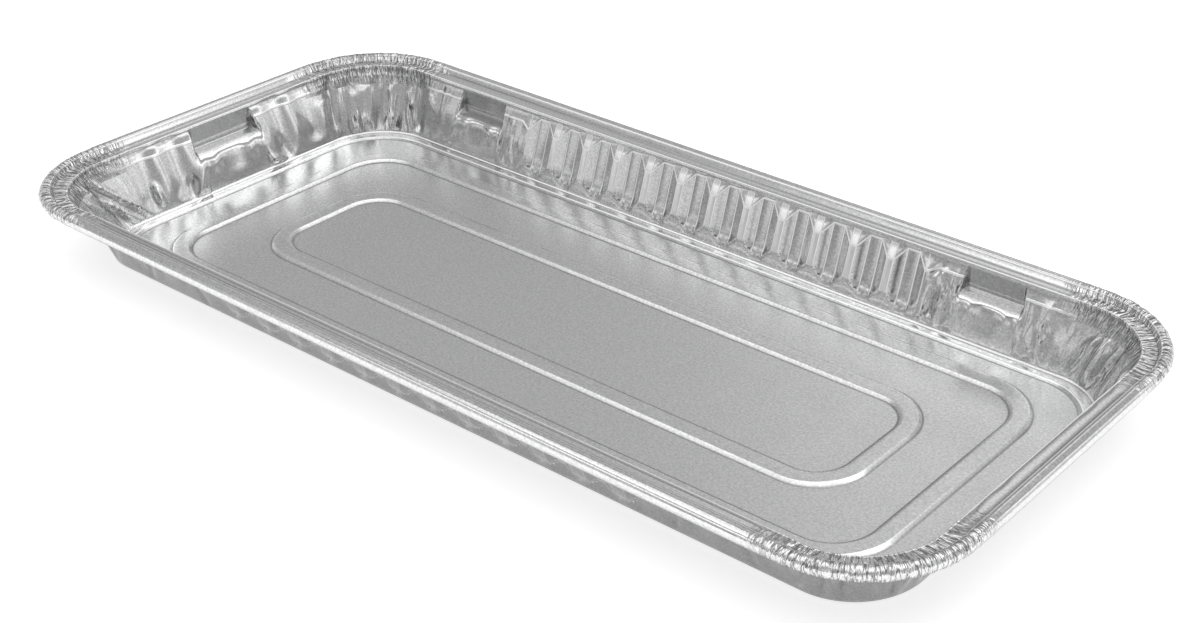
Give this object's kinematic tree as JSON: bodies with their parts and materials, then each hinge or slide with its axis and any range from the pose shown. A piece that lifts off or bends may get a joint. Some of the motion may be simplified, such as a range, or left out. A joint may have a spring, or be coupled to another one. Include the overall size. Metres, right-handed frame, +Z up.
{
  "type": "foil oblong cake pan",
  "caption": "Long shallow foil cake pan with rounded corners, fluted long walls, stacking lugs, raised bead rings in the floor and a rolled rim.",
  "frame": {"origin": "on the table under the middle of the pan, at the bottom centre of its box", "axes": "+X along the length, +Y along the width, +Z up out of the open top"},
  "size_m": [0.4504, 0.2062, 0.0325],
  "materials": {
    "foil": "bright satin foil"
  },
  "bodies": {
    "root": {"pan": "foil"}
  },
  "joints": []
}
